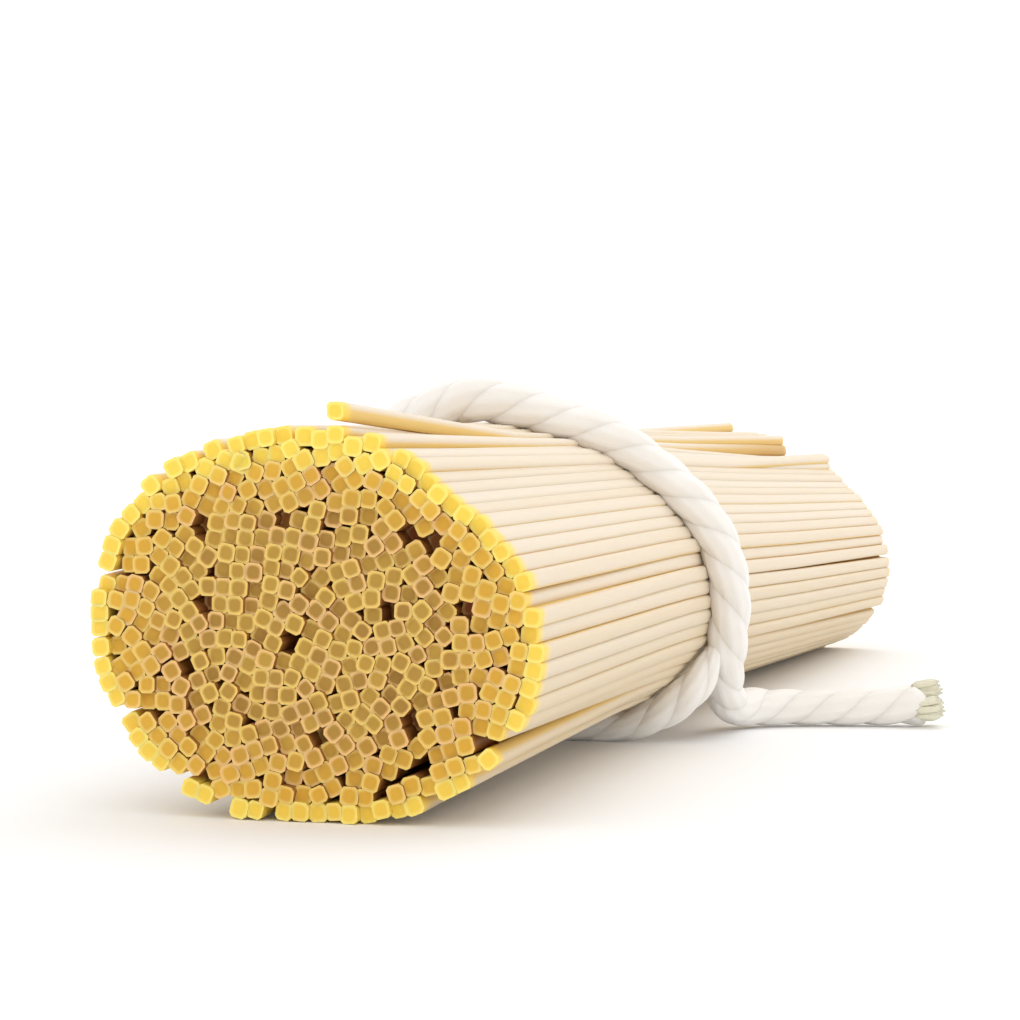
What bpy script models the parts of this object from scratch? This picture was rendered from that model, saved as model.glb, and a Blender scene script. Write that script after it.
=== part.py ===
"""A bundle of dry, square-cut spaghetti held by one turn of soft cotton rope.

Units are metres, +Z is up and the strands run along Y. The origin is the middle of the
bundle's footprint, on the surface that it lies on. The bundle is one solid out to its
uneven outline: a section of strand-sized cells drawn along the length, slightly narrower
under the rope, with every strand's end standing at its own depth on both cut faces.
"""

import math
import random
from typing import NamedTuple

import bmesh
import bpy
from mathutils import Matrix, Vector

MM = 0.001

# Bundle
BUNDLE_LENGTH = 255 * MM
HALF_WIDTH = 26.6 * MM
HALF_HEIGHT = 21.75 * MM
CORNER_FULLNESS = 0.037
SHOULDER_CUT = 0.14
SHOULDER_ANGLE = math.radians(40)
SHOULDER_SPREAD = math.radians(24.5)

# The rope presses hardest on the top right of the bundle.
SQUEEZE_ANGLE = math.radians(82)
SQUEEZE_SPREAD = math.radians(34)

# Strands
CELL = 2.15 * MM
CELLS_ACROSS = 30
ROW_TILT = math.radians(11)
ROW_SWAY = 0.35 * MM
SWAY_LENGTH = 23 * MM
GROOVE = 0.24 * MM
FOOT_HEIGHT = 0.6 * MM

# Cut faces
END_RELIEF = 3.2 * MM
END_WAVE = 0.9 * MM
END_JITTER = 0.7 * MM
END_TURN = math.radians(4)

# Rope
ROPE_RADIUS = 2.85 * MM
ROPE_STEP = 4.0 * MM


class Section(NamedTuple):
    """Where the plain outline goes at one place along the bundle's length."""

    y: float
    centre_x: float
    centre_z: float
    width_scale: float
    height_scale: float
    lean: float
    squeeze: float

    def place(self, plain: Vector) -> Vector:
        """Place a point of the plain outline's plane at this section."""
        angle = math.remainder(math.atan2(plain.z, plain.x) - SQUEEZE_ANGLE, math.tau)
        kept = 1.0 - self.squeeze * math.exp(-(angle / SQUEEZE_SPREAD) ** 2)
        return Vector((
            self.centre_x + self.width_scale * kept * plain.x,
            self.y,
            self.centre_z + self.height_scale * kept * plain.z + self.lean * kept * plain.x,
        ))


# The ends rest on the surface and the rope lifts and squeezes the stretch between.
END_PLANE = BUNDLE_LENGTH / 2 - END_RELIEF
SECTIONS = (
    Section(-END_PLANE, 0.1 * MM, 21.6 * MM, 1.0, 1.0, 0.0, 0.0),
    Section(-104 * MM, 0.5 * MM, 21.9 * MM, 0.98, 0.985, -0.025, 0.03),
    Section(-60 * MM, 1.9 * MM, 24.5 * MM, 0.868, 0.924, -0.095, 0.111),
    Section(-34 * MM, 1.9 * MM, 24.5 * MM, 0.868, 0.924, -0.095, 0.111),
    Section(100 * MM, 0.4 * MM, 21.8 * MM, 0.942, 0.985, -0.13, 0.02),
    Section(END_PLANE, 0.4 * MM, 21.7 * MM, 0.95, 1.0, -0.13, 0.0),
)


class Sprung(NamedTuple):
    """A top strand whose end stands clear of its neighbours."""

    section: int
    x: float
    lift: float


SPRUNG_STRANDS = (
    Sprung(0, 3.6 * MM, 2.3 * MM),
    Sprung(1, 3.4 * MM, 1.2 * MM),
    Sprung(5, -6.5 * MM, 2.4 * MM),
    Sprung(4, -6.3 * MM, 1.4 * MM),
)


class Pit(NamedTuple):
    """A strand on the near cut face that ends well short of its neighbours."""

    x: float
    z: float
    depth: float


PITS = (
    Pit(-1.2 * MM, 19.8 * MM, 9.0 * MM),
    Pit(11.5 * MM, 30.5 * MM, 3.5 * MM),
    Pit(9.2 * MM, 24.4 * MM, 3.0 * MM),
    Pit(19.5 * MM, 23.2 * MM, 3.0 * MM),
    Pit(-11.6 * MM, 23.6 * MM, 2.8 * MM),
)

# Centre line of the rope in millimetres, x, y, z and the rope's radius there: from the end
# tucked up against the bundle's right side, under the bundle, up its left side, over the
# top, down the right side and out along the surface.
ROPE_ROUTE = (
    (26.2, -41.2, 13.8, 0.7),
    (26.1, -43.9, 11.2, 1.7),
    (24.3, -45.0, 7.9, 2.5),
    (20.2, -44.4, 4.8, 2.6),
    (14.3, -44.0, 2.3, 2.2),
    (5.3, -44.6, 1.9, 1.9),
    (-4.5, -46.0, 2.6, 2.2),
    (-12.5, -47.6, 5.4, 2.7),
    (-19.1, -49.4, 11.3, 2.85),
    (-23.1, -51.0, 18.6, 2.85),
    (-24.5, -52.2, 25.6, 2.85),
    (-24.0, -53.0, 32.0, 2.85),
    (-21.8, -53.0, 38.0, 2.85),
    (-17.9, -52.4, 43.0, 2.9),
    (-12.8, -51.4, 45.9, 3.0),
    (-6.3, -50.0, 47.8, 3.3),
    (0.6, -48.2, 46.7, 3.2),
    (7.2, -46.4, 44.6, 3.05),
    (13.6, -44.6, 41.7, 3.0),
    (19.3, -42.9, 37.4, 2.95),
    (23.9, -41.4, 32.7, 2.95),
    (26.9, -40.2, 27.3, 2.95),
    (28.1, -39.2, 20.5, 2.95),
    (27.3, -37.4, 13.5, 2.95),
    (26.0, -33.3, 7.6, 2.9),
    (25.7, -27.0, 4.0, 2.85),
    (28.2, -21.2, 3.1, 2.8),
    (34.0, -17.5, 2.8, 2.65),
    (41.3, -15.2, 2.8, 2.7),
    (47.6, -13.8, 3.1, 2.85),
    (53.5, -12.4, 3.8, 3.1),
)


def clear_scene() -> None:
    """Remove every object that the file already holds."""
    for obj in list(bpy.data.objects):
        bpy.data.objects.remove(obj, do_unlink=True)


def make_collection(name: str) -> bpy.types.Collection:
    """Make a collection and link it to the scene."""
    collection = bpy.data.collections.new(name)
    bpy.context.scene.collection.children.link(collection)
    return collection


def make_material(name: str, colour: tuple, roughness: float) -> bpy.types.Material:
    """Make a plain non-metallic material."""
    material = bpy.data.materials.new(name)
    material.use_nodes = True
    shader = material.node_tree.nodes["Principled BSDF"]
    shader.inputs["Base Color"].default_value = (*colour, 1.0)
    shader.inputs["Roughness"].default_value = roughness
    shader.inputs["Metallic"].default_value = 0.0
    return material


def outline_radius(angle: float) -> float:
    """Radius of the plain outline: an ellipse with filled corners and one cut shoulder."""
    ellipse = 1.0 / math.hypot(math.cos(angle) / HALF_WIDTH, math.sin(angle) / HALF_HEIGHT)
    from_shoulder = math.remainder(angle - SHOULDER_ANGLE, math.tau) / SHOULDER_SPREAD
    corners = CORNER_FULLNESS * math.sin(2 * angle) ** 2
    shoulder = SHOULDER_CUT * math.exp(-from_shoulder ** 2)
    return ellipse * (1.0 + corners - shoulder)


def overshoot(point: Vector) -> float:
    """Distance of a point of the outline's plane from its middle, 1 on the outline."""
    return math.hypot(point.x, point.z) / outline_radius(math.atan2(point.z, point.x))


def make_plain_section(bm: bmesh.types.BMesh) -> list:
    """Lay strand-sized cells out to the outline, in rows that tilt and sway.

    Returns:
        The faces of the section, which faces -Y.
    """
    upright = Matrix.Rotation(ROW_TILT, 4, "Y") @ Matrix.Rotation(math.pi / 2, 4, "X")
    bmesh.ops.create_grid(
        bm,
        x_segments=CELLS_ACROSS,
        y_segments=CELLS_ACROSS,
        size=CELLS_ACROSS * CELL / 2,
        matrix=upright,
    )
    for vert in bm.verts:
        along_row = vert.co.x / SWAY_LENGTH * math.tau
        across_rows = vert.co.z / SWAY_LENGTH * math.tau
        vert.co.x += ROW_SWAY * math.sin(across_rows + 0.6)
        vert.co.z += ROW_SWAY * math.sin(along_row)
    outside = [face for face in bm.faces if overshoot(face.calc_center_median()) > 1.0]
    bmesh.ops.delete(bm, geom=outside, context="FACES")
    for vert in bm.verts:
        vert.co /= max(1.0, overshoot(vert.co))
    return list(bm.faces)


def draw_along_length(bm: bmesh.types.BMesh, near_faces: list) -> list:
    """Draw the section through all of SECTIONS.

    Returns:
        The faces of the far end.
    """
    plain = bm.verts.layers.float_vector.new("plain")
    for vert in bm.verts:
        vert[plain] = vert.co
        vert.co = SECTIONS[0].place(vert.co)
    faces = near_faces
    for section in SECTIONS[1:]:
        drawn = bmesh.ops.extrude_face_region(bm, geom=faces)["geom"]
        if faces is not near_faces:
            bmesh.ops.delete(bm, geom=faces, context="FACES")
        faces = [item for item in drawn if isinstance(item, bmesh.types.BMFace)]
        for vert in drawn:
            if isinstance(vert, bmesh.types.BMVert):
                vert.co = section.place(vert[plain])
    return faces


def lift_sprung_strands(bm: bmesh.types.BMesh) -> None:
    """Raise the top edge of the cells whose strand has sprung up."""
    for sprung in SPRUNG_STRANDS:
        section_y = SECTIONS[sprung.section].y
        column = [
            vert for vert in bm.verts
            if abs(vert.co.y - section_y) < CELL and abs(vert.co.x - sprung.x) < 0.75 * CELL
        ]
        top = max(vert.co.z for vert in column)
        for vert in column:
            if vert.co.z > top - 0.45 * CELL:
                vert.co.z += sprung.lift


def flatten_foot(bm: bmesh.types.BMesh) -> None:
    """Let the lowest strands lie flat on the surface."""
    for vert in bm.verts:
        if vert.co.z < FOOT_HEIGHT:
            vert.co.z = 0.0


def end_setback(centre: Vector, rng: random.Random) -> float:
    """How far one strand's end lies behind the foremost ones."""
    wave = math.sin(centre.x / (9 * MM)) * math.cos(centre.z / (11 * MM) + 0.8)
    return END_WAVE * (1.0 + wave) / 2 + END_JITTER * rng.random() ** 2


def nearest_pit_depth(centre: Vector) -> float:
    """Depth of the pit whose place falls in the cell with this centre, or 0."""
    for pit in PITS:
        if max(abs(centre.x - pit.x), abs(centre.z - pit.z)) < CELL / 2:
            return pit.depth
    return 0.0


def cut_strand_ends(bm: bmesh.types.BMesh, faces: list, outward: float, seed: int) -> None:
    """Give every cell of a cut face a strand's end at its own depth and angle."""
    rng = random.Random(seed)
    bmesh.ops.inset_individual(bm, faces=faces, thickness=GROOVE / 2, use_even_offset=True)
    for face in faces:
        centre = face.calc_center_median()
        setback = end_setback(centre, rng)
        if outward < 0:
            setback += nearest_pit_depth(centre)
        turn = Matrix.Rotation(rng.uniform(-END_TURN, END_TURN), 3, "Y")
        shift = Vector((0.0, outward * (END_RELIEF - setback), 0.0))
        for vert in face.verts:
            vert.co = centre + turn @ (vert.co - centre) + shift


def make_bundle(collection: bpy.types.Collection) -> bpy.types.Object:
    """Build the bundle of strands as one closed solid."""
    bm = bmesh.new()
    near_faces = make_plain_section(bm)
    far_faces = draw_along_length(bm, near_faces)
    lift_sprung_strands(bm)
    flatten_foot(bm)
    cut_strand_ends(bm, near_faces, outward=-1.0, seed=4)
    cut_strand_ends(bm, far_faces, outward=1.0, seed=9)
    bmesh.ops.recalc_face_normals(bm, faces=bm.faces)
    mesh = bpy.data.meshes.new("spaghetti_bundle")
    bm.to_mesh(mesh)
    bm.free()
    mesh.materials.append(make_material("dry_pasta", (0.78, 0.56, 0.22), 0.5))
    bundle = bpy.data.objects.new("spaghetti_bundle", mesh)
    collection.objects.link(bundle)
    return bundle


def smooth_route(route: tuple, step: float) -> list:
    """Read points about one step apart from a smooth curve through the route.

    Returns:
        Vectors of x, y, z and radius in metres.
    """
    knots = [Vector(point) * MM for point in route]
    ends = [2 * knots[0] - knots[1], 2 * knots[-1] - knots[-2]]
    padded = [ends[0], *knots, ends[1]]
    points = []
    for before, start, end, after in zip(padded, padded[1:], padded[2:], padded[3:]):
        count = max(1, round((end - start).length / step))
        for i in range(count):
            t = i / count
            points.append(0.5 * (
                2 * start
                + t * (end - before)
                + t ** 2 * (2 * before - 5 * start + 4 * end - after)
                + t ** 3 * (3 * start - before - 3 * end + after)
            ))
    points.append(knots[-1])
    return points


def make_rope(collection: bpy.types.Collection) -> bpy.types.Object:
    """Build the tie rope as one tube along its whole route."""
    points = smooth_route(ROPE_ROUTE, ROPE_STEP)
    curve = bpy.data.curves.new("tie_rope", "CURVE")
    curve.dimensions = "3D"
    curve.bevel_depth = ROPE_RADIUS
    curve.bevel_resolution = 3
    curve.use_fill_caps = True
    spline = curve.splines.new("POLY")
    spline.points.add(len(points) - 1)
    for target, point in zip(spline.points, points):
        target.co = (point.x, point.y, point.z, 1.0)
        target.radius = point.w / ROPE_RADIUS
    curve.materials.append(make_material("cotton_rope", (0.84, 0.80, 0.72), 0.9))
    rope = bpy.data.objects.new("tie_rope", curve)
    collection.objects.link(rope)
    return rope


def main() -> None:
    """Build the bundle and its rope."""
    clear_scene()
    collection = make_collection("bundle_of_dry_spaghetti")
    make_bundle(collection)
    make_rope(collection)


main()
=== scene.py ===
"""Looks of a bundle of dry, square-cut spaghetti, tied with one turn of soft cotton rope.

The strands are packed in three cross-sections, which are the near end, the tie and the far
end, and each one runs from its place in the first to its place in the last. The rope is
three plies laid round each other along the rope's route.
"""

import logging
import math
from dataclasses import dataclass, field
from enum import Enum
from typing import NamedTuple, Optional, Union

import bmesh
import bpy
import numpy as np
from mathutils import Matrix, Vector


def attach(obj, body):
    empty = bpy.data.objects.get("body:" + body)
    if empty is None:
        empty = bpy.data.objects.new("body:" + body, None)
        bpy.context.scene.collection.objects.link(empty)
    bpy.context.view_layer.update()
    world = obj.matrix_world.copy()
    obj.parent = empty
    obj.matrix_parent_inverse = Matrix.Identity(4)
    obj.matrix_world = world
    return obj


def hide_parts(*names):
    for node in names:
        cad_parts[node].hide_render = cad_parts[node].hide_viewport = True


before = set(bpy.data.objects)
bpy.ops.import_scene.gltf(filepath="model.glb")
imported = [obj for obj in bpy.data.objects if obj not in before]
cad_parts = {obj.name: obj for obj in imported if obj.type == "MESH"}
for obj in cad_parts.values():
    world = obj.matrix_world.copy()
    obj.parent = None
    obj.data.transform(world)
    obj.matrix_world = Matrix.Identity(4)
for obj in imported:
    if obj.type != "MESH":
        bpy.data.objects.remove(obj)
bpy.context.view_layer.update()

MM = 0.001
LOG = logging.getLogger("spaghetti_bundle")


# Shader maths


@dataclass(frozen=True)
class Wire:
    """One output of a shader graph, which Python's own signs work on."""

    graph: "Graph"
    socket: bpy.types.NodeSocket

    def maths(self, operation: str, *values: "Number") -> "Wire":
        """Add one Math node that works on the values in their order."""
        return self.graph.node(
            "ShaderNodeMath", {"operation": operation}, dict(enumerate(values))
        )

    def __add__(self, other: "Number") -> "Wire":
        """Add."""
        return self.maths("ADD", self, other)

    def __radd__(self, other: "Number") -> "Wire":
        """Add to a plain number."""
        return self.maths("ADD", other, self)

    def __sub__(self, other: "Number") -> "Wire":
        """Subtract."""
        return self.maths("SUBTRACT", self, other)

    def __rsub__(self, other: "Number") -> "Wire":
        """Subtract from a plain number."""
        return self.maths("SUBTRACT", other, self)

    def __mul__(self, other: "Number") -> "Wire":
        """Multiply."""
        return self.maths("MULTIPLY", self, other)

    def __rmul__(self, other: "Number") -> "Wire":
        """Multiply a plain number."""
        return self.maths("MULTIPLY", other, self)

    def __pow__(self, other: "Number") -> "Wire":
        """Raise to a power."""
        return self.maths("POWER", self, other)

    def size(self) -> "Wire":
        """Drop the sign."""
        return self.maths("ABSOLUTE", self)

    def sine(self) -> "Wire":
        """Sine of the value in radians."""
        return self.maths("SINE", self)

    def ramp(self, low: float, high: float) -> "Wire":
        """Rise smoothly from 0 at low to 1 at high.

        Args:
            low: The value at which the result is 0. It may lie above high.
            high: The value at which the result is 1.

        Returns:
            A value from 0 to 1.
        """
        if low > high:
            return 1.0 - self.ramp(high, low)
        return self.graph.node(
            "ShaderNodeMapRange",
            {"interpolation_type": "SMOOTHSTEP"},
            {"Value": self, "From Min": low, "From Max": high},
        )


Number = Union[float, Wire]
Colour = tuple[float, float, float]


def screen_colour(red: float, green: float, blue: float) -> Colour:
    """Turn a colour as a screen shows it, 0 to 255, into the linear one of a shader."""

    def linear(value: float) -> float:
        share = value / 255
        return share / 12.92 if share <= 0.04045 else ((share + 0.055) / 1.055) ** 2.4

    return linear(red), linear(green), linear(blue)


class Graph:
    """The node graph of one material."""

    COLOUR_MIX = {"factor": 0, "a": 6, "b": 7, "result": 2}

    def __init__(self, name: str) -> None:
        """Start an empty graph for a new material."""
        self.material = bpy.data.materials.new(name)
        self.material.use_nodes = True
        self.tree = self.material.node_tree
        self.tree.nodes.clear()

    def node(
        self,
        kind: str,
        settings: Optional[dict] = None,
        inputs: Optional[dict] = None,
        output: Union[int, str] = 0,
    ) -> Wire:
        """Add any node.

        Args:
            kind: The node's type.
            settings: The node's own options, set before its sockets.
            inputs: Values or wires of its sockets, by name or number.
            output: The output that is wanted, by name or number.

        Returns:
            The wire that leaves the wanted output.
        """
        made = self.tree.nodes.new(kind)
        for option, choice in (settings or {}).items():
            setattr(made, option, choice)
        for socket, value in (inputs or {}).items():
            self.feed(made.inputs[socket], value)
        return Wire(self, made.outputs[output])

    def feed(self, socket: bpy.types.NodeSocket, value: object) -> None:
        """Give a socket a wire, a number or a colour."""
        if isinstance(value, Wire):
            self.tree.links.new(value.socket, socket)
        elif socket.type == "RGBA" and len(value) == 3:
            socket.default_value = (*value, 1.0)
        else:
            socket.default_value = value

    def mix(self, factor: Number, a: Union[Colour, Wire], b: Union[Colour, Wire]) -> Wire:
        """Blend two colours.

        Args:
            factor: 0 gives all of a, and 1 all of b.
            a: The first colour.
            b: The second colour.

        Returns:
            The blend.
        """
        places = self.COLOUR_MIX
        return self.node(
            "ShaderNodeMix",
            {"data_type": "RGBA"},
            {places["factor"]: factor, places["a"]: a, places["b"]: b},
            places["result"],
        )

    def number(self, attribute: str) -> Wire:
        """Read a number that the mesh carries."""
        return self.node(
            "ShaderNodeAttribute", {"attribute_name": attribute}, output="Fac"
        )

    def place(self) -> Wire:
        """Read the place on the object, in metres."""
        return self.node("ShaderNodeTexCoord", output="Object")

    def stretched(self, place: Wire, scale: tuple[float, float, float]) -> Wire:
        """Multiply a place by its own factor on each axis."""
        return self.node(
            "ShaderNodeVectorMath", {"operation": "MULTIPLY"}, {0: place, 1: scale}
        )

    def split(self, place: Wire, axis: int) -> Wire:
        """Take one axis of a place: 0, 1 or 2."""
        return self.node("ShaderNodeSeparateXYZ", inputs={0: place}, output=axis)

    def noise(self, place: Wire, scale: float, detail: float = 2.0) -> Wire:
        """Add soft cloudy noise from 0 to 1."""
        return self.node(
            "ShaderNodeTexNoise",
            inputs={"Vector": place, "Scale": scale, "Detail": detail},
            output="Fac",
        )

    def bump(self, height: Wire, depth: float) -> Wire:
        """Turn a height from 0 to 1 into a normal, for a relief of that depth in metres."""
        return self.node(
            "ShaderNodeBump", inputs={"Height": height, "Distance": depth, "Strength": 1.0}
        )

    def finish(self, constants: dict, varying: dict) -> bpy.types.Material:
        """Close the graph with the surface shader.

        Args:
            constants: Sockets that are the same all over the surface.
            varying: Sockets that a wire feeds.

        Returns:
            The material.
        """
        shader = self.node("ShaderNodeBsdfPrincipled", inputs={**constants, **varying})
        surface = self.tree.nodes.new("ShaderNodeOutputMaterial").inputs["Surface"]
        self.feed(surface, shader)
        return self.material


# Finishes


@dataclass(frozen=True)
class PastaFinish:
    """Dry durum pasta: ivory sides, and yellow cut ends with a pale rim, with painted glow and
    painted shade mixed into these colours.
    """

    skin: Colour = screen_colour(234, 220, 201)
    skin_deep: Colour = screen_colour(228, 210, 183)
    # Painted shade: warmer, darker sides low down.
    skin_painted_low_shade: Colour = screen_colour(216, 192, 148)
    # Painted shade in the grooves between strands.
    groove_shade: Colour = screen_colour(232, 196, 112)
    # Painted shade on strands that lie behind their neighbours.
    low: Colour = screen_colour(212, 170, 92)
    # Painted shade: deep brown on buried sides seen through the gaps at the near cut ends.
    deep: Colour = screen_colour(164, 108, 50)
    heart: Colour = screen_colour(190, 150, 60)
    heart_dark: Colour = screen_colour(166, 124, 50)
    # Painted glow: a gold and a brighter yellow for the hearts of outer and top cut ends; the
    # brighter one also paints the glow on the sides near a cut.
    heart_painted_glow: Colour = screen_colour(220, 168, 54)
    painted_glow: Colour = screen_colour(251, 216, 84)
    rim: Colour = screen_colour(236, 198, 108)
    rim_warm: Colour = screen_colour(236, 190, 124)
    # Painted glow on the rims of outer and top cut ends.
    rim_painted_glow: Colour = screen_colour(255, 232, 122)
    # Painted shade: reddish brown on the near ends that are set back in pits.
    pit_shade: Colour = screen_colour(168, 92, 38)
    near_end: float = -127.5 * MM
    far_end: float = 127.5 * MM
    glow_length: float = 4.2 * MM
    roughness: float = 0.46

    def build(self) -> bpy.types.Material:
        """Make the material."""
        graph = Graph("dry_pasta")
        place = graph.place()
        along = graph.split(place, 1)
        tone = graph.number("tone")
        edge = graph.number("edge")
        cut = graph.number("cut")
        patches = graph.noise(place, 900.0)

        # Painted light: the cut ends of outer and top strands are painted brighter and more yellow,
        # as if lit from above and through the edges.
        lit = edge + 0.12 * graph.split(place, 2).ramp(31.0 * MM, 42.0 * MM)
        end_colour = self._cut_end(graph, tone, lit, patches)
        # Painted glow on the sides near the cut ends.
        glow = self._near_a_cut(along, patches)
        inside = along.ramp(self.near_end + 32.0 * MM, self.near_end + 8.0 * MM)
        side_colour = self._side(graph, place, tone, glow, inside)
        colour = graph.mix(cut, side_colour, end_colour)

        streaks = graph.noise(graph.stretched(place, (1.0, 0.045, 1.0)), 2600.0, 3.0)
        grain = graph.noise(place, 5200.0)
        relief = streaks * 0.6 + grain * 0.4
        return graph.finish(
            {
                "IOR": 1.5,
                "Specular IOR Level": 0.35,
                "Subsurface Weight": 0.22,
                "Subsurface Radius": (1.0, 0.62, 0.2),
                "Subsurface Scale": 0.9 * MM,
            },
            {
                "Base Color": colour,
                "Roughness": self.roughness + 0.12 * streaks + 0.12 * cut,
                "Normal": graph.bump(relief, 0.035 * MM),
            },
        )

    def _cut_end(self, graph: Graph, tone: Wire, lit: Wire, patches: Wire) -> Wire:
        """Colour the cut ends.

        Args:
            graph: The graph to add to.
            tone: Each strand's own tone, 0 to 1.
            lit: How near the strand lies to the outside of the bundle, and to its top, which sets
                how much painted glow its cut end gets, as of light from above and through the outer
                strands.
            patches: Fine cloudy noise.

        Returns:
            The colour.
        """
        own_x, own_z = graph.number("own_x"), graph.number("own_z")
        to_rim = (own_x.size() ** 3.0 + own_z.size() ** 3.0) ** (1.0 / 3.0)
        pit_shade = graph.number("pit_shade")
        # Shares of the painted glow on the hearts of outer and top cut ends.
        glow_share = lit.ramp(0.5, 0.9)
        bright_glow_share = lit.ramp(0.86, 1.0)
        heart = graph.mix(tone, self.heart_dark, self.heart)
        heart = graph.mix(glow_share, heart, self.heart_painted_glow)
        heart = graph.mix(bright_glow_share, heart, self.painted_glow)
        # Painted shade: the near ends set back in pits turn reddish brown, with a fainter pale rim.
        heart = graph.mix(pit_shade, heart, self.pit_shade)
        pale = graph.mix((tone * 7.0).sine().ramp(-0.2, 0.9), self.rim, self.rim_warm)
        # Painted glow on the pale rims of outer and top cut ends.
        pale = graph.mix(lit.ramp(0.84, 1.01), pale, self.rim_painted_glow)
        ring = (to_rim + (patches - 0.5) * 0.24).ramp(0.52, 0.84)
        return graph.mix(ring * (1.0 - pit_shade * 0.45), heart, pale)

    def _near_a_cut(self, along: Wire, patches: Wire) -> Wire:
        """Say where the sides get a painted yellow glow, as of light passing through near a cut end,
        0 to 1.
        """
        reach = self.glow_length
        uneven = (patches - 0.5) * (2.0 * MM)
        near = (along + uneven).ramp(self.near_end + reach, self.near_end + 0.3 * reach)
        far = (along + uneven).ramp(self.far_end - reach, self.far_end - 0.3 * reach)
        return near + far * 0.3

    def _side(
        self, graph: Graph, place: Wire, tone: Wire, glow: Wire, inside: Wire
    ) -> Wire:
        """Colour the long sides.

        Args:
            graph: The graph to add to.
            place: The place on the object.
            tone: Each strand's own tone, 0 to 1.
            glow: Where a cut end is near, which sets the painted glow on the sides.
            inside: Where buried sides are seen from the near cut ends, and get a painted deep-brown
                shade.

        Returns:
            The colour.
        """
        groove_shade = graph.number("groove_shade")
        sunk = graph.number("sunk")
        cloud = graph.noise(graph.stretched(place, (1.0, 0.12, 1.0)), 420.0)
        skin = graph.mix(tone * 0.7 + cloud * 0.3, self.skin, self.skin_deep)
        height = graph.split(place, 2)
        # Painted shade: the sides turn darker and more yellow towards the bottom.
        skin = graph.mix(height.ramp(30.0 * MM, 1.0 * MM) * 0.66, skin, self.skin_painted_low_shade)
        # Painted shade: the sides turn ochre where they turn in towards the grooves between strands.
        skin = graph.mix(groove_shade.ramp(0.3, 0.9), skin, self.groove_shade)
        # Painted glow: the sides turn a vivid yellow near a cut end.
        skin = graph.mix(glow * 0.9, skin, self.painted_glow)
        # Painted shade: strands that lie behind their neighbours turn a darker ochre.
        buried = sunk.ramp(0.75, 2.1)
        skin = graph.mix(buried * (1.0 - glow), skin, self.low)
        # Painted shade: buried sides seen from the near cut ends turn deep brown.
        return graph.mix(buried * inside, skin, self.deep)


@dataclass(frozen=True)
class ShadeFinish:
    """The deep brown of the gaps inside the bundle."""

    colour: Colour = screen_colour(82, 52, 34)

    def build(self) -> bpy.types.Material:
        """Make the material."""
        graph = Graph("pasta_shade")
        cloud = graph.noise(graph.place(), 300.0)
        colour = graph.mix(cloud * 0.5, self.colour, screen_colour(58, 36, 26))
        return graph.finish({"Roughness": 0.9}, {"Base Color": colour})


@dataclass(frozen=True)
class CottonFinish:
    """Soft undyed cotton yarn."""

    name: str = "cotton_rope"
    fibre: Colour = screen_colour(250, 247, 243)
    # Painted shade in the valleys between the plies, and in the small grooves between yarns.
    valley_shade: Colour = screen_colour(226, 216, 198)
    shade: Colour = screen_colour(238, 232, 224)
    yarns: float = 8.0
    slant: float = -0.9

    def build(self) -> bpy.types.Material:
        """Make the material."""
        graph = Graph(self.name)
        place = graph.place()
        ply = graph.node("ShaderNodeUVMap", {"uv_map": "UVMap"})
        round_ply = graph.split(ply, 0)
        along_ply = graph.split(ply, 1)
        wander = (graph.noise(place, 420.0) - 0.5) * 0.5
        turns = round_ply * self.yarns + along_ply * self.slant + wander
        yarn = (turns * math.tau).sine() * 0.5 + 0.5
        fibres = graph.noise(graph.stretched(ply, (46.0, 5.0, 1.0)), 1.0, 3.0)
        fuzz = graph.noise(place, 2400.0, 3.0)
        deep = graph.number("valley_shade")
        colour = graph.mix(graph.noise(place, 160.0), self.fibre, self.shade)
        # Painted shade: darker where the plies meet and between the yarns.
        colour = graph.mix(deep.ramp(0.1, 0.95) * 0.7, colour, self.valley_shade)
        colour = graph.mix((1.0 - yarn) * 0.1, colour, self.valley_shade)
        relief = yarn * 0.45 + fibres * 0.35 + fuzz * 0.2
        return graph.finish(
            {
                "Roughness": 0.92,
                "Specular IOR Level": 0.15,
                "Sheen Weight": 0.25,
                "Sheen Roughness": 0.5,
                "Subsurface Weight": 0.15,
                "Subsurface Radius": (1.0, 0.9, 0.75),
                "Subsurface Scale": 0.8 * MM,
            },
            {"Base Color": colour, "Normal": graph.bump(relief, 0.16 * MM)},
        )


@dataclass(frozen=True)
class FloorFinish:
    """The plain pale surface that the bundle lies on."""

    colour: Colour = (0.94, 0.94, 0.94)

    def build(self) -> bpy.types.Material:
        """Make the material."""
        graph = Graph("pale_floor")
        return graph.finish(
            {"Base Color": self.colour, "Roughness": 0.8, "Specular IOR Level": 0.1}, {}
        )


# Tools for modelling


def deselect_all() -> None:
    """Leave nothing selected, so that the next tool acts on its own piece alone."""
    if bpy.context.object and bpy.context.object.mode != "OBJECT":
        bpy.ops.object.mode_set(mode="OBJECT")
    bpy.ops.object.select_all(action="DESELECT")


def pick(obj: bpy.types.Object) -> None:
    """Select one object alone and make it the active one."""
    deselect_all()
    obj.select_set(True)
    bpy.context.view_layer.objects.active = obj


def select_faces_facing(obj: bpy.types.Object, direction: Vector) -> None:
    """In edit mode, select the faces whose normal is the direction, and nothing else."""
    bpy.ops.mesh.select_all(action="DESELECT")
    bpy.ops.mesh.select_mode(type="FACE")
    bm = bmesh.from_edit_mesh(obj.data)
    for face in bm.faces:
        face.select_set(face.normal.dot(direction) > 0.99)
    bmesh.update_edit_mesh(obj.data)


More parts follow.
